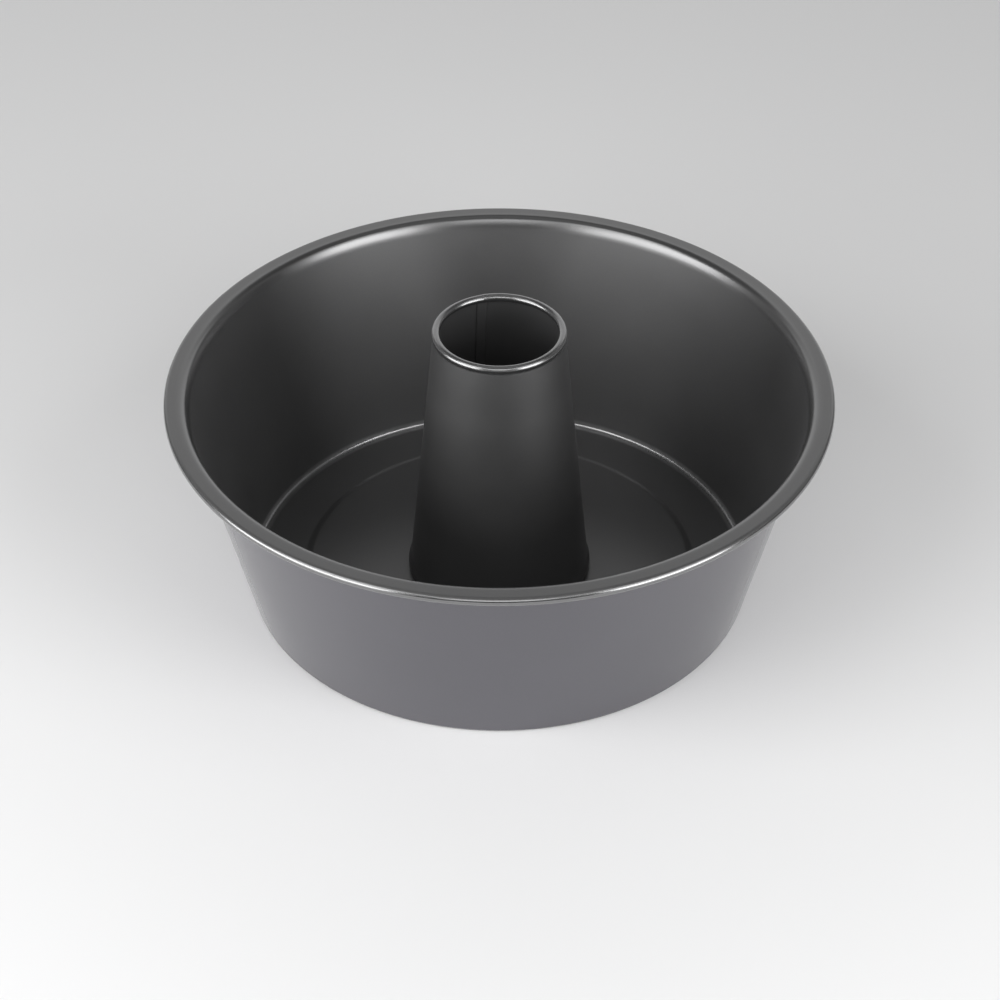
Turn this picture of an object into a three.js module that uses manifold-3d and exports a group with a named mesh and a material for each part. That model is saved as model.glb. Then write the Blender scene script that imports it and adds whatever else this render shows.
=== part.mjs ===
// Flan pan: a drawn steel shell with a wired rim, and a tapered tube locked over a collar in its floor.
// Millimetres, +Z up. The pan stands on z = 0 with its axis on Z.

import * as THREE from "three";
import { mergeVertices } from "three/addons/utils/BufferGeometryUtils.js";
import Module from "manifold-3d";

// Shell
const RIM_DIAMETER = 240; // over the rolled edge
const RIM_HEIGHT = 83.3; // table to the top of the rim
const RIM_WIDTH = 7.4; // from the wall's outside to the rolled edge
const RIM_BEND_RADIUS = 2.4; // flare into rim, at the middle of the sheet
const FLARE_RADIUS = 12; // wall into flare, at the middle of the sheet
const FLARE_LEAN = 30; // degrees from upright, of the short flare between the wall and the rim
const WALL_LEAN = 13.3; // degrees from upright
const CORNER_RADIUS = 1.5; // wall into floor, at the middle of the sheet
const STANDING_RING = 18; // width of the flat ring that meets the table
const PAD_RISE = 1; // how far the middle of the floor stands above that ring
const PAD_STEP = 2.5; // width of the slope between the two
const PAD_BEND_RADIUS = 3; // at both edges of the slope
const ROLL_DIAMETER = 3.2; // rolled edge, outside
const ROLL_SLIT = 0.25; // left open between the end of the roll and the rim's underside
const SHEET = 0.6; // steel with its coating

// Tube
const TUBE_HEIGHT = 107; // table to the top of the mouth
const TUBE_FOOT_DIAMETER = 67; // outside, where its cone meets the floor
const TUBE_MOUTH_DIAMETER = 46.7; // outside, where its cone reaches the top
const MOUTH_STAND = 0.55; // how far the rolled mouth stands out of the cone
const MOUTH_NECK_LEAN = 25; // degrees outwards, between the cone and the rolled mouth
const MOUTH_ROLL_DIAMETER = 3; // rolled mouth, outside
const MOUTH_ROLL_TURN = 270; // degrees
const FOOT_BEAD = 0.85; // how far the locking bead stands out of the cone
const FOOT_BEAD_HEIGHT = 5.4; // floor to the top of the bead
const COLLAR_GRIP = 1.2; // how far the shell's collar passes the bead
const SEAM_WIDTH = 4; // lap of the tube's seam
const SEAM_RISE = 0.5; // how far the lap stands out of the inside
const SEAM_BEARING = 106; // degrees from +X, seen from above

// Fits and facets
const CLEARANCE = 0.3; // between pieces
const SEGMENTS = 60; // facets in a full turn
const ARC_STEP = 30; // degrees of bend in one facet

const radians = THREE.MathUtils.degToRad;
const rimRadius = RIM_DIAMETER / 2;
const rollRadius = (ROLL_DIAMETER - SHEET) / 2;
const rimLevel = RIM_HEIGHT - SHEET / 2;
const padLevel = PAD_RISE + SHEET / 2;
const padTop = PAD_RISE + SHEET;

/** Radius of the wall at a height, at the middle of the sheet. */
function wallRadius(height) {
  const lean = radians(WALL_LEAN);
  const top = rimRadius - RIM_WIDTH - SHEET / 2 / Math.cos(lean);
  return top - (RIM_HEIGHT - height) * Math.tan(lean);
}

// Short flare under the rim: its length leaves room for the bends at both ends.
const flareLean = radians(FLARE_LEAN);
const flareStart = FLARE_RADIUS * Math.tan((flareLean - radians(WALL_LEAN)) / 2);
const flareEnd = RIM_BEND_RADIUS * Math.tan((Math.PI / 2 - flareLean) / 2);
const flareLength = flareStart + flareEnd + SHEET / 4;
const flareFoot = rimLevel - flareLength * Math.cos(flareLean);

const tubeTaper = Math.atan((TUBE_FOOT_DIAMETER - TUBE_MOUTH_DIAMETER) / 2 / (TUBE_HEIGHT - padTop));

/** Radius of the tube's cone at a height, at the middle of the sheet. */
function tubeRadius(height) {
  return TUBE_FOOT_DIAMETER / 2 - (height - padTop) * Math.tan(tubeTaper) - SHEET / 2 / Math.cos(tubeTaper);
}

// Middle of the rolled mouth, and the ends of the short neck that carries it out of the cone.
const mouthLevel = TUBE_HEIGHT - MOUTH_ROLL_DIAMETER / 2;
const mouthRadius = tubeRadius(mouthLevel) + SHEET / 2 + MOUTH_STAND - MOUTH_ROLL_DIAMETER / 2;
const mouthCurl = (MOUTH_ROLL_DIAMETER - SHEET) / 2;
const neckTop = mouthLevel - mouthCurl * Math.sin(radians(MOUTH_NECK_LEAN));
const neckEdge = mouthRadius + mouthCurl * Math.cos(radians(MOUTH_NECK_LEAN));
const neckFlare = Math.tan(radians(MOUTH_NECK_LEAN)) + Math.tan(tubeTaper);
const neckFoot = neckTop - (neckEdge - tubeRadius(neckTop)) / neckFlare;

// Levels of the bead that locks the tube over the collar, and the lean of its lower flank.
const beadFoot = padTop + CLEARANCE * 1.5;
const beadPeak = padTop + FOOT_BEAD_HEIGHT * 0.37;
const beadTop = padTop + FOOT_BEAD_HEIGHT;
const beadLean = Math.atan(FOOT_BEAD / (beadPeak - beadFoot));
const collarInset = (SHEET + CLEARANCE) / Math.cos(beadLean);

/** Left-hand side of a direction in the profile plane. */
function leftOf(way) {
  return new THREE.Vector2(-way.y, way.x);
}

/** Stations along an arc that leaves a point in a direction; a positive turn bends to the left. */
function bend(from, way, radius, turn) {
  const side = leftOf(way);
  const centre = side.clone().multiplyScalar(Math.sign(turn) * radius).add(from);
  const steps = Math.max(1, Math.ceil(Math.abs(turn) / radians(ARC_STEP) - 0.01));
  const stations = [];
  for (let step = 0; step <= steps; step += 1) {
    const angle = (turn * step) / steps;
    stations.push({
      at: from.clone().rotateAround(centre, angle),
      side: side.clone().rotateAround(new THREE.Vector2(), angle),
    });
  }
  return stations;
}

/** Stations on the middle of a sheet that runs straight between corners, each [radius, height, bend radius]. */
function sheetLine(corners) {
  const places = corners.map(([radius, height]) => new THREE.Vector2(radius, height));
  const ways = places.slice(1).map((place, i) => place.clone().sub(places[i]).normalize());
  const stations = [{ at: places[0], side: leftOf(ways[0]) }];
  for (let i = 1; i < places.length - 1; i += 1) {
    const turn = Math.atan2(ways[i - 1].cross(ways[i]), ways[i - 1].dot(ways[i]));
    const reach = corners[i][2] * Math.tan(Math.abs(turn) / 2);
    const from = ways[i - 1].clone().multiplyScalar(-reach).add(places[i]);
    stations.push(...bend(from, ways[i - 1], corners[i][2], turn));
  }
  stations.push({ at: places.at(-1), side: leftOf(ways.at(-1)) });
  return stations;
}

/** The line with its free end rolled up. */
function rolled(stations, radius, turn) {
  const end = stations.at(-1);
  const way = new THREE.Vector2(end.side.y, -end.side.x);
  return [...stations.slice(0, -1), ...bend(end.at, way, radius, turn)];
}

/** Closed outline of a sheet of even thickness about its middle line. */
function sheetOutline(stations) {
  const left = stations.map(({ at, side }) => side.clone().multiplyScalar(SHEET / 2).add(at));
  const right = stations.map(({ at, side }) => side.clone().multiplyScalar(-SHEET / 2).add(at));
  return [...left, ...right.reverse()];
}

/** A closed outline of radius and height, turned about Z. */
function turned(outline) {
  const loop = THREE.ShapeUtils.isClockWise(outline) ? outline.slice().reverse() : outline.slice();
  loop.push(loop[0].clone());
  const geometry = new THREE.LatheGeometry(loop, SEGMENTS);
  geometry.rotateX(Math.PI / 2);
  return welded(geometry);
}

/** The geometry with its shared corners merged, ready for a closed solid. */
function welded(geometry) {
  geometry.deleteAttribute("normal");
  geometry.deleteAttribute("uv");
  return mergeVertices(geometry, 1e-5);
}

const wasm = await Module();
wasm.setup();

/** Solid of a closed geometry. */
function solidOf(geometry) {
  const mesh = new wasm.Mesh({
    numProp: 3,
    vertProperties: Float32Array.from(geometry.attributes.position.array),
    triVerts: Uint32Array.from(geometry.index.array),
  });
  return new wasm.Manifold(mesh);
}

/** Geometry of a solid. */
function geometryOf(solid) {
  const mesh = solid.getMesh();
  const geometry = new THREE.BufferGeometry();
  geometry.setAttribute("position", new THREE.BufferAttribute(mesh.vertProperties, 3));
  geometry.setIndex(new THREE.BufferAttribute(mesh.triVerts, 1));
  return geometry;
}

/** One sheet from the collar inside the tube, across the floor and up the wall, to the rolled edge. */
function panShell() {
  const flankFoot = tubeRadius(beadFoot) - collarInset - (beadFoot - padLevel) * Math.tan(beadLean);
  const corner = wallRadius(SHEET / 2);
  const flatEdge = corner - CORNER_RADIUS * Math.tan(radians(90 - WALL_LEAN) / 2);
  const padEdge = flatEdge - STANDING_RING - PAD_STEP;
  const collarTop = beadTop + COLLAR_GRIP;
  const line = sheetLine([
    [tubeRadius(collarTop) - collarInset, collarTop],
    [tubeRadius(beadTop) - collarInset, beadTop, 4],
    [tubeRadius(beadPeak) + FOOT_BEAD - collarInset, beadPeak, 1.6],
    [flankFoot, padLevel, SHEET * 1.2],
    [padEdge, padLevel, PAD_BEND_RADIUS],
    [padEdge + PAD_STEP, SHEET / 2, PAD_BEND_RADIUS],
    [corner, SHEET / 2, CORNER_RADIUS],
    [wallRadius(flareFoot), flareFoot, FLARE_RADIUS],
    [wallRadius(flareFoot) + flareLength * Math.sin(flareLean), rimLevel, RIM_BEND_RADIUS],
    [rimRadius - ROLL_DIAMETER / 2, rimLevel],
  ]);
  const tuck = Math.asin((ROLL_DIAMETER / 2 - SHEET - ROLL_SLIT) / (ROLL_DIAMETER / 2));
  return turned(sheetOutline(rolled(line, rollRadius, -Math.PI * 1.5 - tuck)));
}

/** Tapered tube with its foot bead, its inward rolled mouth and the lap of its seam. */
function centreTube() {
  const line = sheetLine([
    [tubeRadius(beadFoot), beadFoot],
    [tubeRadius(beadPeak) + FOOT_BEAD, beadPeak, 2.4],
    [tubeRadius(beadTop), beadTop, 4],
    [tubeRadius(neckFoot), neckFoot, SHEET * 1.2],
    [neckEdge, neckTop],
  ]);
  const tube = turned(sheetOutline(rolled(line, mouthCurl, radians(MOUTH_ROLL_TURN))));
  return geometryOf(solidOf(tube).add(solidOf(seamLap())));
}

/** Lap of the tube's seam, sunk into the inside of the cone between the collar and the mouth. */
function seamLap() {
  const low = beadTop + COLLAR_GRIP + 2;
  const high = neckFoot - 1;
  const middle = (low + high) / 2;
  const length = (high - low) / Math.cos(tubeTaper);
  const sunk = SHEET / 2;
  const lap = new THREE.BoxGeometry(SEAM_RISE + sunk, SEAM_WIDTH, length);
  lap.translate(-(SEAM_RISE + sunk) / 2, 0, 0);
  lap.rotateY(-tubeTaper);
  lap.translate(tubeRadius(middle), 0, middle);
  lap.rotateZ(radians(SEAM_BEARING));
  return welded(lap);
}

/** Stiffening wire that lies in the rolled edge. */
function rimWire() {
  const radius = ROLL_DIAMETER / 2 - SHEET - CLEARANCE;
  const section = new THREE.EllipseCurve(rimRadius - ROLL_DIAMETER / 2, rimLevel - rollRadius, radius, radius);
  return turned(section.getPoints(8).slice(0, 8));
}

/** Named piece with its own finish. */
function piece(name, geometry, colour, roughness, metalness) {
  const material = new THREE.MeshStandardMaterial({ color: colour, roughness, metalness });
  const mesh = new THREE.Mesh(geometry, material);
  mesh.name = name;
  return mesh;
}

const pan = new THREE.Group();
pan.name = "flan_pan";
pan.add(piece("pan_shell", panShell(), 0x6b6a6f, 0.42, 0.5));
pan.add(piece("centre_tube", centreTube(), 0x56565a, 0.38, 0.5));
pan.add(piece("rim_wire", rimWire(), 0xb4b6b8, 0.3, 1));

export default pan;
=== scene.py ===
"""Looks of a flan pan: a coated steel shell with a rolled rim, and a tube fixed in its floor."""

from __future__ import annotations

import cmath
import logging
import math
from dataclasses import dataclass
from enum import Enum
from typing import Callable, ClassVar, Dict, List, Mapping, Optional, Sequence, Tuple, Union

import bpy
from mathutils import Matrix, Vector


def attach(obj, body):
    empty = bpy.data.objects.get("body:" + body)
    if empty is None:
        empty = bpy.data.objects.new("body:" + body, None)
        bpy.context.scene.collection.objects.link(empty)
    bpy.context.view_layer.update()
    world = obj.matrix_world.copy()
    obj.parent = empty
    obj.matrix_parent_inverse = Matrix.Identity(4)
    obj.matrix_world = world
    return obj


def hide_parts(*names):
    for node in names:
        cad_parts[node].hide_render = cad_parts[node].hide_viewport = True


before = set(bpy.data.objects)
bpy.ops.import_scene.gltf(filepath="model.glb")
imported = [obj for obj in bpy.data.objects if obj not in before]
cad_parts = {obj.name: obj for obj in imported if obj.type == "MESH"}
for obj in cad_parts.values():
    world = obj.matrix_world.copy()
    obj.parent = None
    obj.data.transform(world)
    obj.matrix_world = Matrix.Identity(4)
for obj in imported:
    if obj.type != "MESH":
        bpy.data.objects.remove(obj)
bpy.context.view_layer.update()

LOG = logging.getLogger("flan_pan")
MM = 0.001
BODY = "root"
FULL_TURN = 2 * math.pi
RIGHT_ANGLE = math.pi / 2
# Tightest bend of a sheet's middle line, in thicknesses of the sheet.
TIGHT_BEND = 1.2

Colour = Tuple[float, float, float]
Paint = Tuple[float, float, float, float]
Feed = Union["Sock", float, Tuple[float, ...]]

WHITE: Colour = (1.0, 1.0, 1.0)


class Sock:
    """An output socket whose arithmetic adds Math nodes to its graph."""

    def __init__(self, graph: "Graph", socket: Optional[bpy.types.NodeSocket]) -> None:
        """Keeps a socket with the graph that it belongs to.

        Args:
            graph: The graph that new nodes go into.
            socket: The output socket, or None where a node has no output.
        """
        self.graph = graph
        self.socket = socket

    def math(self, operation: str, *operands: Feed) -> "Sock":
        """Adds a Math node.

        Args:
            operation: The node's operation.
            operands: Its inputs, in order.

        Returns:
            The node's value.
        """
        settings = {"operation": operation}
        return self.graph.node("ShaderNodeMath", settings, dict(enumerate(operands)))

    def __add__(self, other: Feed) -> "Sock":
        """Sum."""
        return self.math("ADD", self, other)

    __radd__ = __add__

    def __sub__(self, other: Feed) -> "Sock":
        """Difference."""
        return self.math("SUBTRACT", self, other)

    def __rsub__(self, other: Feed) -> "Sock":
        """Difference from the left."""
        return self.math("SUBTRACT", other, self)

    def __mul__(self, other: Feed) -> "Sock":
        """Product."""
        return self.math("MULTIPLY", self, other)

    __rmul__ = __mul__

    def __pow__(self, other: Feed) -> "Sock":
        """Power."""
        return self.math("POWER", self, other)

    def __rpow__(self, other: Feed) -> "Sock":
        """Power with this as the exponent."""
        return self.math("POWER", other, self)

    def rise(self, low: float, high: float) -> "Sock":
        """Smooth step.

        Args:
            low: Where the result leaves 0.
            high: Where it reaches 1.

        Returns:
            The step, from 0 to 1.
        """
        settings = {"interpolation_type": "SMOOTHSTEP"}
        span = {"Value": self, "From Min": low, "From Max": high, "To Min": 0.0, "To Max": 1.0}
        return self.graph.node("ShaderNodeMapRange", settings, span)


class Graph:
    """Node tree of one material, or of the world."""

    OCTAVE_SHARE = 0.55
    # Colour sockets of a Mix node: three inputs and the output.
    MIX_FACTOR, MIX_FIRST, MIX_SECOND, MIX_RESULT = 0, 6, 7, 2

    def __init__(self, owner: Union[bpy.types.Material, bpy.types.World]) -> None:
        """Empties the owner's node tree.

        Args:
            owner: The material or world.
        """
        owner.use_nodes = True
        self.owner = owner
        self.tree = owner.node_tree
        self.tree.nodes.clear()

    @classmethod
    def of_material(cls, name: str) -> "Graph":
        """Graph of a new material."""
        return cls(bpy.data.materials.new(name))

    def node(
        self,
        kind: str,
        settings: Optional[Mapping[str, object]] = None,
        inputs: Optional[Mapping[Union[str, int], Feed]] = None,
        output: Union[str, int] = 0,
    ) -> Sock:
        """Adds any node.

        Args:
            kind: The node's type.
            settings: Its properties, which are set first.
            inputs: Values or links of its sockets.
            output: The output that is wanted.

        Returns:
            That output.
        """
        made = self.tree.nodes.new(kind)
        for key, value in (settings or {}).items():
            setattr(made, key, value)
        for key, value in (inputs or {}).items():
            if isinstance(value, Sock):
                self.tree.links.new(value.socket, made.inputs[key])
            else:
                made.inputs[key].default_value = value
        return Sock(self, made.outputs[output] if len(made.outputs) else None)

    def noise(self, place: Sock, grain: float, detail: float) -> Sock:
        """Noise about zero.

        Args:
            place: The coordinates that it runs over.
            grain: Size of its features, in metres.
            detail: Octaves.

        Returns:
            Noise from about -0.5 to 0.5.
        """
        wanted: Dict[Union[str, int], Feed] = {
            "Vector": place,
            "Scale": 1.0 / grain,
            "Detail": detail,
            "Roughness": self.OCTAVE_SHARE,
        }
        return self.node("ShaderNodeTexNoise", {"normalize": True}, wanted) - 0.5

    def blend(self, factor: Feed, first: Feed, second: Feed) -> Sock:
        """Mixes two colours.

        Args:
            factor: Share of the second.
            first: Colour at 0.
            second: Colour at 1.

        Returns:
            The mixed colour.
        """
        settings = {"data_type": "RGBA", "clamp_factor": True}
        parts = {self.MIX_FACTOR: factor, self.MIX_FIRST: first, self.MIX_SECOND: second}
        return self.node("ShaderNodeMix", settings, parts, self.MIX_RESULT)

    def bump(self, height: Sock, depth: float, normal: Optional[Sock] = None) -> Sock:
        """Relief.

        Args:
            height: Height of the relief.
            depth: What a height of 1 stands for, in metres.
            normal: Relief that lies under it.

        Returns:
            The bent normal.
        """
        wanted: Dict[Union[str, int], Feed] = {"Strength": 1.0, "Distance": depth, "Height": height}
        if normal is not None:
            wanted["Normal"] = normal
        return self.node("ShaderNodeBump", None, wanted)

    def finish(self, shader: Sock) -> bpy.types.Material:
        """Links a shader to the material's output.

        Args:
            shader: The surface.

        Returns:
            The finished material.
        """
        self.node("ShaderNodeOutputMaterial", None, {"Surface": shader})
        return self.owner


def rgba(colour: Colour, share: float = 1.0) -> Paint:
    """Opaque colour for a socket.

    Args:
        colour: Red, green and blue.
        share: Makes it lighter above 1, and darker below.

    Returns:
        The colour with its alpha.
    """
    red, green, blue = (channel * share for channel in colour)
    return red, green, blue, 1.0


@dataclass(frozen=True)
class Ring:
    """A level ring where the coating is stretched thin and smooth over a bend, in millimetres."""

    CORE: ClassVar[float] = 0.35

    radius: float
    height: float
    reach: float
    thin: float
    smooth: float

    def near(self, radius: Sock, height: Sock) -> Sock:
        """How close a place is to the ring.

        Args:
            radius: Distance from the axis, in metres.
            height: Height, in metres.

        Returns:
            1 over the core of the reach, falling to 0 at its end.
        """
        across = radius - self.radius * MM
        along = height - self.height * MM
        away = (across * across + along * along) ** 0.5
        return 1.0 - away.rise(self.CORE * self.reach * MM, self.reach * MM)


@dataclass(frozen=True)
class BakedCoat:
    """Grey coating baked on steel sheet: fine metal grain, soft clouds and a slight peel.

    Depths and sizes of features are in metres.
    """

    name: str
    tint: Colour
    roughness: float
    metallic: float
    film: float = 0.0
    film_roughness: float = 0.2
    rings: Tuple[Ring, ...] = ()
    grain: float = 0.06
    cloud: float = 0.05
    peel: float = 6e-6
    sway: float = 3e-5
    bare: Colour = (0.6, 0.6, 0.605)
    fleck_size: float = 0.0005
    cloud_size: float = 0.028
    sway_size: float = 0.045
    peel_size: float = 0.0016
    patch_size: float = 0.004
    patch: float = 0.5
    contrast: float = 1.4
    unevenness: float = 0.08

    def bend_masks(self, graph: Graph, place: Sock) -> Tuple[Feed, Feed]:
        """Where the coating is thin and where it is smooth, over the bends.

        Args:
            graph: The material's graph.
            place: Object coordinates.

        Returns:
            Share of the metal that shows through, and fall of the roughness.
        """
        thin: Feed = 0.0
        smooth: Feed = 0.0
        x, y, z = (graph.node("ShaderNodeSeparateXYZ", None, {0: place}, axis) for axis in "XYZ")
        radius = (x * x + y * y) ** 0.5
        for ring in self.rings:
            near = ring.near(radius, z)
            thin = thin + near * ring.thin
            smooth = smooth + near * ring.smooth
        return thin, smooth

    def material(self) -> bpy.types.Material:
        """Builds the material.

        Returns:
            The material.
        """
        graph = Graph.of_material(self.name)
        place = graph.node("ShaderNodeTexCoord", None, None, "Object")
        fleck = graph.noise(place, self.fleck_size, detail=2.0)
        cloud = graph.noise(place, self.cloud_size, detail=3.0)
        sway = graph.noise(place, self.sway_size, detail=1.0)
        peel = graph.noise(place, self.peel_size, detail=1.0)
        share = 0.5 + fleck * self.contrast + cloud * (self.cloud / self.grain) * self.contrast
        dark, light = rgba(self.tint, 1.0 - self.grain), rgba(self.tint, 1.0 + self.grain)
        colour = graph.blend(share, dark, light)
        rough = self.roughness + fleck * self.unevenness + cloud * self.unevenness
        if self.rings:
            thin, smooth = self.bend_masks(graph, place)
            patches = 1.0 + graph.noise(place, self.patch_size, detail=3.0) * self.patch
            colour = graph.blend(thin * patches, colour, rgba(self.bare))
            rough = rough - smooth
        normal = graph.bump(peel, self.peel, graph.bump(sway, self.sway))
        shader = graph.node(
            "ShaderNodeBsdfPrincipled",
            None,
            {
                "Base Color": colour,
                "Roughness": rough,
                "Metallic": self.metallic,
                "Coat Weight": self.film,
                "Coat Roughness": self.film_roughness,
                "Normal": normal,
            },
        )
        return graph.finish(shader)


@dataclass(frozen=True)
class DrawnWire:
    """Bare steel wire with fine lines along it."""

    name: str = "drawn_wire"
    tint: Colour = (0.5, 0.5, 0.51)
    shade: float = 0.8
    roughness: float = 0.32
    unevenness: float = 0.2
    lines_per_metre: float = 9000.0

    def material(self) -> bpy.types.Material:
        """Builds the material.

        Returns:
            The material.
        """
        graph = Graph.of_material(self.name)
        place = graph.node("ShaderNodeTexCoord", None, None, "Object")
        height = graph.node("ShaderNodeSeparateXYZ", None, {0: place}, "Z")
        lines = graph.node(
            "ShaderNodeTexNoise",
            {"noise_dimensions": "1D"},
            {"W": height, "Scale": self.lines_per_metre, "Detail": 3.0},
        )
        colour = graph.blend(lines, rgba(self.tint, self.shade), rgba(self.tint))
        rough = self.roughness + (lines - 0.5) * self.unevenness
        shader = graph.node(
            "ShaderNodeBsdfPrincipled",
            None,
            {"Base Color": colour, "Roughness": rough, "Metallic": 1.0},
        )
        return graph.finish(shader)


class Face(Enum):
    """Side of the sheet, by the direction of its middle line."""

    LEFT = 0
    RIGHT = 1


@dataclass(frozen=True)
class Station:
    """A place on the middle of a sheet, as radius + height i, and the way to its left side."""

    at: complex
    side: complex

    @property
    def way(self) -> complex:
        """Direction of the line here."""
        return self.side / 1j


@dataclass(frozen=True)
class SkinPoint:
    """A place on the skin of a sheet, and the face that it belongs to."""

    at: complex
    face: Face


@dataclass(frozen=True)
class Corner:
    """A corner of a sheet's middle line, and the radius that it is bent to, in millimetres."""

    radius: float
    height: float
    bend: float = 0.0

    @property
    def at(self) -> complex:
        """Its place, as radius + height i."""
        return complex(self.radius, self.height)


class SheetLine:
    """Middle line of bent sheet: straight legs, a bend at each corner and a roll at the end."""

    ARC_STEP = math.radians(7.0)
    LEG_STEP = 6.0
    GUARD = 0.35
    EASE = 0.22
    EASE_STEPS = 3

    def __init__(self, corners: Sequence[Corner], sheet: float) -> None:
        """Lays the line.

        Args:
            corners: Corners in order. The first and last are ends, with no bend.
            sheet: Thickness.
        """
        self.sheet = sheet
        places = [corner.at for corner in corners]
        ways = [(b - a) / abs(b - a) for a, b in zip(places, places[1:])]
        self.stations: List[Station] = [Station(places[0], ways[0] * 1j)]
        for i in range(1, len(places) - 1):
            turn = cmath.phase(ways[i] / ways[i - 1])
            reach = corners[i].bend * math.tan(abs(turn) / 2)
            self._leg_to(places[i] - ways[i - 1] * reach)
            self._bend(corners[i].bend, turn)
        self._leg_to(places[-1])

    def _leg_to(self, end: complex) -> None:
        """Runs straight to a point, with guard stations that keep the leg's shading flat.

        Args:
            end: Where the leg stops.
        """
        start = self.stations[-1]
        length = abs(end - start.at)
        marks = [self.GUARD, length - self.GUARD, length]
        count = int(length / self.LEG_STEP)
        marks += [length * k / (count + 1) for k in range(1, count + 1)]
        for mark in sorted(m for m in marks if self.GUARD / 2 < m <= length):
            self.stations.append(Station(start.at + start.way * mark, start.side))

    def _bend(self, radius: float, turn: float) -> None:
        """Turns through an angle on an arc.

        Args:
            radius: Of the middle of the sheet.
            turn: The angle. A positive one goes left.
        """
        start = self.stations[-1]
        centre = start.at + start.side * math.copysign(radius, turn)
        count = max(2, math.ceil(abs(turn) / self.ARC_STEP))
        for k in range(1, count + 1):
            spin = cmath.rect(1.0, turn * k / count)
            self.stations.append(Station(centre + (start.at - centre) * spin, start.side * spin))

    def roll(self, radius: float, turn: float) -> "SheetLine":
        """Rolls the free end up.

        Args:
            radius: Of the middle of the sheet.
            turn: Signed angle.

        Returns:
            The line itself.
        """
        self._bend(radius, turn)
        return self

    def _cap(
        self, station: Station, way: complex, side: complex, first: Face
    ) -> List[SkinPoint]:
        """Cut edge with its two corners eased.

        Args:
            station: End of the line.
            way: Direction out of the end.
            side: Direction of the first corner.
            first: Face that the first corner belongs to.

        Returns:
            Skin points of the edge, in order.
        """
        ease = self.EASE * self.sheet
        second = Face.RIGHT if first is Face.LEFT else Face.LEFT
        points: List[SkinPoint] = []
        for out, turn_from, face in ((side, side, first), (-side, way, second)):
            centre = station.at + out * (self.sheet / 2 - ease) - way * ease
            for k in range(self.EASE_STEPS + 1):
                spin = cmath.rect(ease, -RIGHT_ANGLE * k / self.EASE_STEPS)
                points.append(SkinPoint(centre + turn_from * spin, face))
        return points

    def outline(self) -> List[SkinPoint]:
        """Closed outline of the sheet.

        Returns:
            Skin points in order round the section.
        """
        half = self.sheet / 2
        inner = self.stations[1:-1]
        start, end = self.stations[0], self.stations[-1]
        skin = [SkinPoint(s.at + s.side * half, Face.LEFT) for s in inner]
        skin += self._cap(end, end.way, end.side, Face.LEFT)
        skin += [SkinPoint(s.at - s.side * half, Face.RIGHT) for s in reversed(inner)]
        skin += self._cap(start, -start.way, -start.side, Face.RIGHT)
        return skin


Shaper = Callable[[SkinPoint, float], complex]


def turn_about_axis(
    name: str,
    skin: Sequence[SkinPoint],
    bearings: Sequence[float],
    shaper: Optional[Shaper] = None,
) -> bpy.types.Object:
    """Turns a closed section about Z.

    Args:
        name: The object's name.
        skin: The section, in millimetres.
        bearings: Angles of the turn, in order.
        shaper: Moves a skin point at a bearing.

    Returns:
        A smooth object whose first material covers left faces and second right faces.
    """
    points: List[Tuple[float, float, float]] = []
    for bearing in bearings:
        across, along = math.cos(bearing), math.sin(bearing)
        for point in skin:
            at = shaper(point, bearing) if shaper else point.at
            points.append((at.real * across * MM, at.real * along * MM, at.imag * MM))
    count, turns = len(skin), len(bearings)
    faces: List[Tuple[int, int, int, int]] = []
    sides: List[int] = []
    for k in range(turns):
        here, there = k * count, (k + 1) % turns * count
        for i in range(count):
            j = (i + 1) % count
            faces.append((here + i, here + j, there + j, there + i))
            sides.append(skin[i].face.value)
    mesh = bpy.data.meshes.new(name)
    mesh.from_pydata(points, [], faces)
    mesh.polygons.foreach_set("material_index", sides)
    mesh.polygons.foreach_set("use_smooth", [True] * len(faces))
    mesh.update()
    made = bpy.data.objects.new(name, mesh)
    bpy.context.scene.collection.objects.link(made)
    return made


def even_turn(count: int) -> List[float]:
    """Even bearings of a full turn."""
    return [FULL_TURN * k / count for k in range(count)]


def share_of(value: float) -> float:
    """Value held between 0 and 1."""
    return min(1.0, max(0.0, value))


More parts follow.
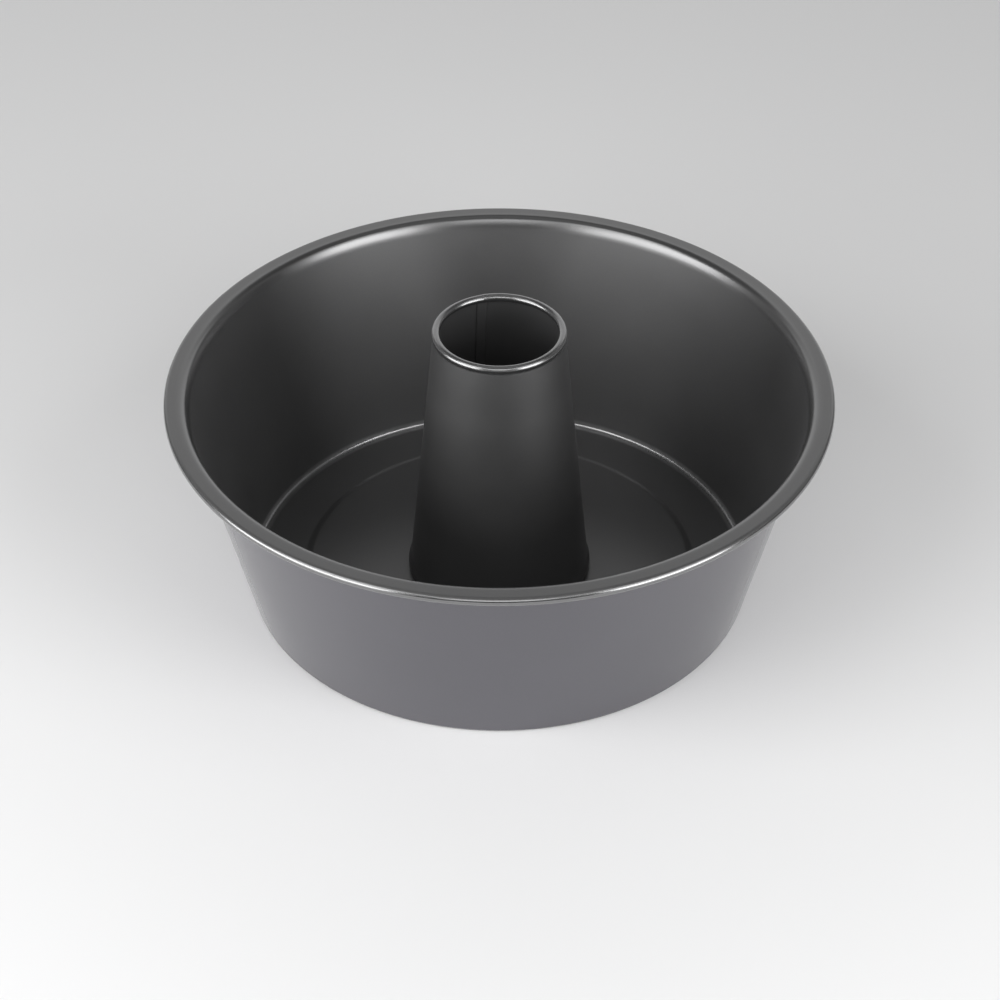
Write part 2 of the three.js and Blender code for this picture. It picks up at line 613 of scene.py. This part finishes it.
@dataclass
class CentreTube:
    """Tapered tube with a foot bead, an inward rolled mouth and a lapped seam, in millimetres."""

    STEPS: ClassVar[int] = 240
    SEAM_STEPS: ClassVar[int] = 24
    # Half widths of the seam that the close steps cover, and that the even steps keep clear.
    SEAM_REACH: ClassVar[float] = 1.3
    SEAM_CLEAR: ClassVar[float] = 1.35
    # Clearances between the floor and the foot of the bead.
    FOOT_LIFT: ClassVar[float] = 1.5

    height: float = 107.0
    foot: float = 33.5
    mouth: float = 23.35
    mouth_stand: float = 0.55
    neck_lean: float = math.radians(25.0)
    mouth_roll: float = 1.5
    mouth_turn: float = math.radians(270.0)
    bead: float = 0.85
    bead_height: float = 5.4
    bead_peak_share: float = 0.37
    bead_bend: float = 2.4
    bead_top_bend: float = 4.0
    seam_width: float = 4.0
    seam_rise: float = 0.5
    seam_edge: float = 0.3
    seam_start: float = 2.5
    seam_fade: float = 4.0
    seam_bearing: float = math.radians(106.0)
    # Step of the mouth where the lap ends. Its fade and its direction are angles.
    step_rise: float = 0.1
    step_edge: float = 0.35
    step_fade: float = 1.1
    step_way: float = math.radians(54.0)
    floor: float = 1.6
    sheet: float = 0.6
    clearance: float = 0.3

    def __post_init__(self) -> None:
        """Works out the taper, the levels of the bead and the neck of the mouth."""
        self.taper = math.atan((self.foot - self.mouth) / (self.height - self.floor))
        self.bead_foot = self.floor + self.clearance * self.FOOT_LIFT
        self.bead_peak = self.floor + self.bead_height * self.bead_peak_share
        self.bead_top = self.floor + self.bead_height
        self.bead_lean = math.atan(self.bead / (self.bead_peak - self.bead_foot))
        self.curl = self.mouth_roll - self.sheet / 2
        level = self.height - self.mouth_roll
        self.mouth_middle = complex(self.radius(level) + self.mouth_stand - self.curl, level)
        self.neck_top = self.mouth_middle + cmath.rect(self.curl, -self.neck_lean)
        stand = self.neck_top.real - self.radius(self.neck_top.imag)
        flare = math.tan(self.neck_lean) + math.tan(self.taper)
        self.neck_foot = self.neck_top.imag - stand / flare

    def radius(self, height: float) -> float:
        """Radius of the cone at a height, at the middle of the sheet."""
        drop = (height - self.floor) * math.tan(self.taper)
        return self.foot - drop - self.sheet / 2 / math.cos(self.taper)

    def line(self) -> SheetLine:
        """Middle line from the foot to the rolled mouth.

        Returns:
            The line.
        """
        corners = [
            Corner(self.radius(self.bead_foot), self.bead_foot),
            Corner(self.radius(self.bead_peak) + self.bead, self.bead_peak, self.bead_bend),
            Corner(self.radius(self.bead_top), self.bead_top, self.bead_top_bend),
            Corner(self.radius(self.neck_foot), self.neck_foot, self.sheet * TIGHT_BEND),
            Corner(self.neck_top.real, self.neck_top.imag),
        ]
        return SheetLine(corners, self.sheet).roll(self.curl, self.mouth_turn)

    def from_seam(self, bearing: float) -> float:
        """Signed angle from the middle of the seam."""
        return math.remainder(bearing - self.seam_bearing, FULL_TURN)

    def lapped(self, point: SkinPoint, bearing: float) -> complex:
        """Raises the seam's lap inside the cone, and steps the mouth where the lap ends.

        Args:
            point: A skin point.
            bearing: Its angle.

        Returns:
            Where it moves to.
        """
        at = point.at
        away = self.from_seam(bearing)
        seam_foot = self.bead_top + self.seam_start
        if point.face is Face.LEFT and seam_foot < at.imag < self.neck_foot:
            edge = share_of((self.seam_width / 2 - abs(away) * at.real) / self.seam_edge)
            end = share_of((at.imag - seam_foot) / self.seam_fade)
            at -= self.seam_rise * edge * edge * (3 - 2 * edge) * end
        elif point.face is Face.RIGHT and at.imag > self.neck_top.imag:
            fade = share_of(1.0 + away / self.step_fade)
            edge = share_of(-away * at.real / self.step_edge)
            at += cmath.rect(self.step_rise * fade * fade * edge, self.step_way)
        return at

    def bearings(self) -> List[float]:
        """Bearings of the turn, closer together at the seam.

        Returns:
            The bearings, in order.
        """
        half = self.seam_width / 2 / (self.mouth - self.sheet)
        pitch = half * self.SEAM_REACH / self.SEAM_STEPS
        steps = range(-self.SEAM_STEPS, self.SEAM_STEPS + 1)
        near = [self.seam_bearing + k * pitch for k in steps]
        clear = half * self.SEAM_CLEAR
        even = [b for b in even_turn(self.STEPS) if abs(self.from_seam(b)) > clear]
        return sorted(b % FULL_TURN for b in near + even)

    def mouth_ring(self) -> Ring:
        """Ring through the middle of the rolled mouth."""
        middle = self.mouth_middle
        return Ring(middle.real, middle.imag, reach=1.8 * self.mouth_roll, thin=0.25, smooth=0.42)

    def build(self, outside: BakedCoat, bore: BakedCoat) -> bpy.types.Object:
        """Builds and dresses the tube.

        Args:
            outside: Coating of the cone, which also wraps the mouth.
            bore: Thin coating of its inside.

        Returns:
            The piece.
        """
        piece = turn_about_axis("tube_sheet", self.line().outline(), self.bearings(), self.lapped)
        piece.data.materials.append(bore.material())
        piece.data.materials.append(outside.material())
        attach(piece, BODY)
        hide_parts("centre_tube")
        return piece


@dataclass
class PanShell:
    """One drawn sheet, from the collar inside the tube to the rolled rim, in millimetres."""

    STEPS: ClassVar[int] = 320

    tube: CentreTube
    rim_radius: float = 120.0
    rim_height: float = 83.3
    rim_width: float = 7.4
    rim_bend: float = 2.4
    flare_bend: float = 12.0
    flare_lean: float = math.radians(30.0)
    wall_lean: float = math.radians(13.3)
    corner: float = 1.5
    standing_ring: float = 18.0
    pad_rise: float = 1.0
    pad_step: float = 2.5
    pad_bend: float = 3.0
    roll: float = 1.6
    roll_turn: float = math.radians(270.0)
    roll_slit: float = 0.25
    collar_grip: float = 1.2
    collar_bend: float = 1.6
    collar_top_bend: float = 4.0
    sheet: float = 0.6

    @property
    def half_corner(self) -> float:
        """Half of the floor corner's turn."""
        return (RIGHT_ANGLE - self.wall_lean) / 2

    @property
    def rim_level(self) -> float:
        """Height of the flat rim, at the middle of the sheet."""
        return self.rim_height - self.sheet / 2

    def wall(self, height: float) -> float:
        """Radius of the wall at a height, at the middle of the sheet."""
        top = self.rim_radius - self.rim_width - self.sheet / 2 / math.cos(self.wall_lean)
        return top - (self.rim_height - height) * math.tan(self.wall_lean)

    def flare(self) -> complex:
        """Run and rise of the short flare under the rim, with room for the bends at both ends.

        Returns:
            Run + rise i.
        """
        climb = RIGHT_ANGLE - self.flare_lean
        start = self.flare_bend * math.tan((self.flare_lean - self.wall_lean) / 2)
        end = self.rim_bend * math.tan(climb / 2)
        return cmath.rect(start + end + self.sheet / 4, climb)

    def flare_foot(self) -> complex:
        """Where the flare leaves the wall, as radius + height i."""
        height = self.rim_level - self.flare().imag
        return complex(self.wall(height), height)

    def line(self) -> SheetLine:
        """Middle line from the collar to the rolled edge.

        Returns:
            The line.
        """
        tube, half = self.tube, self.sheet / 2
        inset = (self.sheet + tube.clearance) / math.cos(tube.bead_lean)
        pad = self.pad_rise + half
        flank = tube.radius(tube.bead_foot) - (tube.bead_foot - pad) * math.tan(tube.bead_lean)
        peak = tube.radius(tube.bead_peak) + tube.bead
        top = tube.bead_top + self.collar_grip
        corner = self.wall(half)
        flat_edge = corner - self.corner * math.tan(self.half_corner)
        step = flat_edge - self.standing_ring - self.pad_step
        foot, level = self.flare_foot(), self.rim_level
        corners = [
            Corner(tube.radius(top) - inset, top),
            Corner(tube.radius(tube.bead_top) - inset, tube.bead_top, self.collar_top_bend),
            Corner(peak - inset, tube.bead_peak, self.collar_bend),
            Corner(flank - inset, pad, self.sheet * TIGHT_BEND),
            Corner(step, pad, self.pad_bend),
            Corner(step + self.pad_step, half, self.pad_bend),
            Corner(corner, half, self.corner),
            Corner(foot.real, foot.imag, self.flare_bend),
            Corner(foot.real + self.flare().real, level, self.rim_bend),
            Corner(self.rim_radius - self.roll, level),
        ]
        tuck = math.asin((self.roll - self.sheet - self.roll_slit) / self.roll)
        return SheetLine(corners, self.sheet).roll(self.roll - half, -self.roll_turn - tuck)

    def bend_rings(self) -> Tuple[Ring, ...]:
        """Rings along the rolled edge, the bend under the rim and the floor's corner.

        Returns:
            The three rings.
        """
        roll_low = self.rim_height - 1.3 * self.roll
        flare = self.flare()
        bend = self.flare_foot() + 0.5 * flare
        half = self.sheet / 2
        spread = 1.0 / math.cos(self.half_corner) - 1.0
        way = cmath.rect(spread, -self.half_corner)
        corner = complex(self.wall(half), half) - self.corner * way
        return (
            Ring(self.rim_radius, roll_low, reach=1.6 * self.roll, thin=0.13, smooth=0.34),
            Ring(bend.real, bend.imag, reach=1.3 * abs(flare), thin=0.0, smooth=0.2),
            Ring(corner.real, corner.imag, reach=1.9 * self.corner, thin=0.5, smooth=0.22),
        )

    def build(self, inside: BakedCoat, outside: BakedCoat) -> bpy.types.Object:
        """Builds and dresses the shell.

        Args:
            inside: Coating of the upper face, which also wraps the roll.
            outside: Coating of the outer wall and the underside.

        Returns:
            The piece.
        """
        piece = turn_about_axis("shell_sheet", self.line().outline(), even_turn(self.STEPS))
        piece.data.materials.append(inside.material())
        piece.data.materials.append(outside.material())
        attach(piece, BODY)
        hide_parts("pan_shell")
        return piece


@dataclass
class RimWire:
    """Stiffening wire inside the rolled edge, kept as the solid it is."""

    node: str = "rim_wire"

    def dress(self, finish: DrawnWire) -> bpy.types.Object:
        """Gives the wire its finish.

        Args:
            finish: Bare steel.

        Returns:
            The wire's object.
        """
        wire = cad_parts[self.node]
        wire.data.materials.clear()
        wire.data.materials.append(finish.material())
        return wire


def hang(thing: bpy.types.Object, target: Vector, offset: Vector) -> None:
    """Places a lamp or the camera so that it looks at a point.

    Args:
        thing: The lamp or camera.
        target: The point.
        offset: From the point to the thing.
    """
    thing.location = target + offset
    thing.rotation_euler = offset.to_track_quat("Z", "Y").to_euler()
    bpy.context.scene.collection.objects.link(thing)


@dataclass(frozen=True)
class Softbox:
    """A flat soft lamp that faces the pan. Angles are in degrees and lengths in metres."""

    name: str
    bearing: float
    elevation: float
    distance: float
    width: float
    height: float
    watts: float

    def build(self, target: Vector) -> None:
        """Hangs the lamp.

        Args:
            target: Where it points.
        """
        turn, tilt = math.radians(self.bearing), math.radians(self.elevation)
        level = math.cos(tilt)
        way = Vector((math.cos(turn) * level, math.sin(turn) * level, math.sin(tilt)))
        data = bpy.data.lights.new(self.name, "AREA")
        data.shape = "RECTANGLE"
        data.size, data.size_y = self.width, self.height
        data.energy = self.watts
        hang(bpy.data.objects.new(self.name, data), target, way * self.distance)


@dataclass
class Studio:
    """Pale floor, soft lamps, a plain sky and the camera."""

    FLOOR_STEPS: ClassVar[int] = 96

    aim: Tuple[float, float, float] = (0.00026, 0.0, 0.03055)
    elevation: float = math.radians(38.06)
    distance: float = 1.0
    lens: float = 97.153
    sensor: float = 36.0
    near_clip: float = 0.05
    floor_radius: float = 6.0
    floor_tone: Colour = (0.8, 0.8, 0.802)
    floor_roughness: float = 0.9
    floor_gloss: float = 0.1
    sky: float = 0.07
    lamp_target: Tuple[float, float, float] = (0.0, 0.0, 0.05)
    # Name, bearing, elevation, distance, width, height and watts of each lamp.
    boxes: Tuple[Softbox, ...] = (
        Softbox("left_box", 210.0, 16.0, 1.0, 1.05, 0.5, 8.9),
        Softbox("right_box", -39.0, 16.0, 1.0, 0.66, 0.5, 6.4),
        Softbox("left_top", 216.0, 45.0, 1.0, 0.6, 0.4, 2.3),
        Softbox("right_top", -36.0, 44.0, 1.0, 0.6, 0.4, 1.7),
        Softbox("front_box", 270.0, 37.0, 1.1, 0.6, 0.5, 2.3),
        Softbox("back_box", 90.0, 23.0, 1.4, 2.4, 1.15, 7.3),
        Softbox("left_fill", 152.0, 24.0, 1.2, 0.9, 0.8, 0.45),
        Softbox("right_fill", 28.0, 24.0, 1.2, 0.9, 0.8, 0.4),
        Softbox("top_box", 90.0, 84.0, 1.2, 0.8, 0.8, 0.6),
    )

    def build(self) -> None:
        """Sets the stage."""
        self.lay_floor()
        self.light()
        self.place_camera()

    def lay_floor(self) -> None:
        """Wide round floor."""
        mesh = bpy.data.meshes.new("studio_floor")
        wide, turn = self.floor_radius, even_turn(self.FLOOR_STEPS)
        ring = [(wide * math.cos(a), wide * math.sin(a), 0.0) for a in turn]
        mesh.from_pydata(ring, [], [list(range(len(ring)))])
        floor = bpy.data.objects.new("studio_floor", mesh)
        bpy.context.scene.collection.objects.link(floor)
        graph = Graph.of_material("pale_floor")
        shader = graph.node(
            "ShaderNodeBsdfPrincipled",
            None,
            {
                "Base Color": rgba(self.floor_tone),
                "Roughness": self.floor_roughness,
                "Specular IOR Level": self.floor_gloss,
            },
        )
        mesh.materials.append(graph.finish(shader))

    def light(self) -> None:
        """Dim even sky, and the soft lamps."""
        world = bpy.data.worlds.new("studio_sky")
        bpy.context.scene.world = world
        graph = Graph(world)
        glow = {"Color": rgba(WHITE), "Strength": self.sky}
        back = graph.node("ShaderNodeBackground", None, glow)
        graph.node("ShaderNodeOutputWorld", None, {"Surface": back})
        for box in self.boxes:
            box.build(Vector(self.lamp_target))

    def place_camera(self) -> None:
        """Camera at the photograph's angle."""
        data = bpy.data.cameras.new("camera")
        data.sensor_width = self.sensor
        data.lens = self.lens
        data.clip_start = self.near_clip
        way = Vector((0.0, -math.cos(self.elevation), math.sin(self.elevation)))
        camera = bpy.data.objects.new("camera", data)
        hang(camera, Vector(self.aim), way * self.distance)
        bpy.context.scene.camera = camera
        bpy.context.scene.view_settings.view_transform = "Standard"


def main() -> None:
    """Builds the pan and its studio in order."""
    logging.basicConfig(level=logging.INFO, format="%(message)s")
    tube = CentreTube()
    shell = PanShell(tube)
    inside = BakedCoat(
        "inside_coat",
        tint=(0.155, 0.155, 0.1562),
        roughness=0.5,
        metallic=0.9,
        film=0.6,
        film_roughness=0.25,
        rings=shell.bend_rings(),
    )
    outside = BakedCoat(
        "outside_coat",
        tint=(0.122, 0.1185, 0.1355),
        roughness=0.45,
        metallic=0.9,
        film=0.95,
        film_roughness=0.15,
    )
    tube_coat = BakedCoat(
        "tube_coat",
        tint=(0.12, 0.12, 0.121),
        roughness=0.57,
        metallic=0.9,
        film=0.6,
        film_roughness=0.25,
        rings=(tube.mouth_ring(),),
    )
    bore_coat = BakedCoat(
        "bore_coat",
        tint=(0.075, 0.075, 0.076),
        roughness=0.55,
        metallic=0.5,
    )
    made = [
        shell.build(inside, outside),
        tube.build(tube_coat, bore_coat),
        RimWire().dress(DrawnWire()),
    ]
    for piece in made:
        LOG.info("%s: %d faces", piece.name, len(piece.data.polygons))
    Studio().build()


if __name__ == "__main__":
    main()
